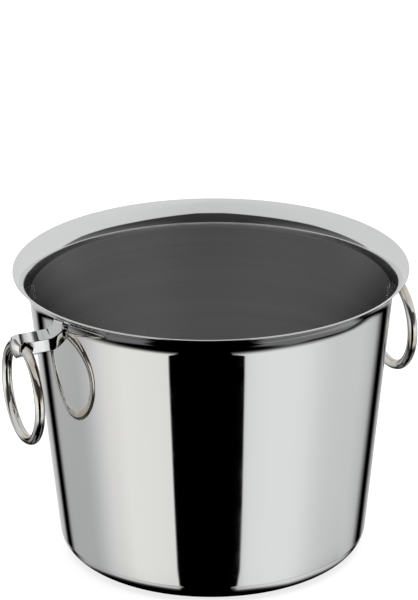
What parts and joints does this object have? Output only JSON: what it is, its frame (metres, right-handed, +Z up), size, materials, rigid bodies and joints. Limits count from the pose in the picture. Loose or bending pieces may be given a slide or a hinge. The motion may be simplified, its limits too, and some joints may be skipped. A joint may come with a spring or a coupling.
{
  "type": "champagne bucket",
  "caption": "Round tapered champagne bucket with a trumpet-flared rim, in mirror-polished metal, with a round ring handle hanging from a hexagonal post on each side.",
  "frame": {"origin": "on the bucket's axis, in the plane of the ring that it stands on", "axes": "+Z up along the bucket's axis; the ring posts lie on the X axis, the right one at +X"},
  "size_m": [0.2572, 0.234, 0.1765],
  "materials": {
    "body_metal": "mirror-polished outside and on the rim, satin brushed round the inside",
    "post_metal": "mirror-polished bar with a turned end",
    "ring_metal": "mirror-polished wire, slightly warmer than the body"
  },
  "bodies": {
    "bucket": {"bucket_body": "body_metal", "left_ring_post": "post_metal", "right_ring_post": "post_metal"},
    "left_handle": {"left_ring": "ring_metal"},
    "right_handle": {"right_ring": "ring_metal"}
  },
  "joints": [
    {"name": "left_ring_swing", "type": "hinge", "parent": "bucket", "child": "left_handle", "pos_m": [-0.1222, 0, 0.148], "axis": [0.0698, 0.9976, 0], "range_deg": [-18, 185]},
    {"name": "right_ring_swing", "type": "hinge", "parent": "bucket", "child": "right_handle", "pos_m": [0.1222, 0, 0.148], "axis": [-0.0262, -0.9997, 0], "range_deg": [-18, 185]}
  ]
}
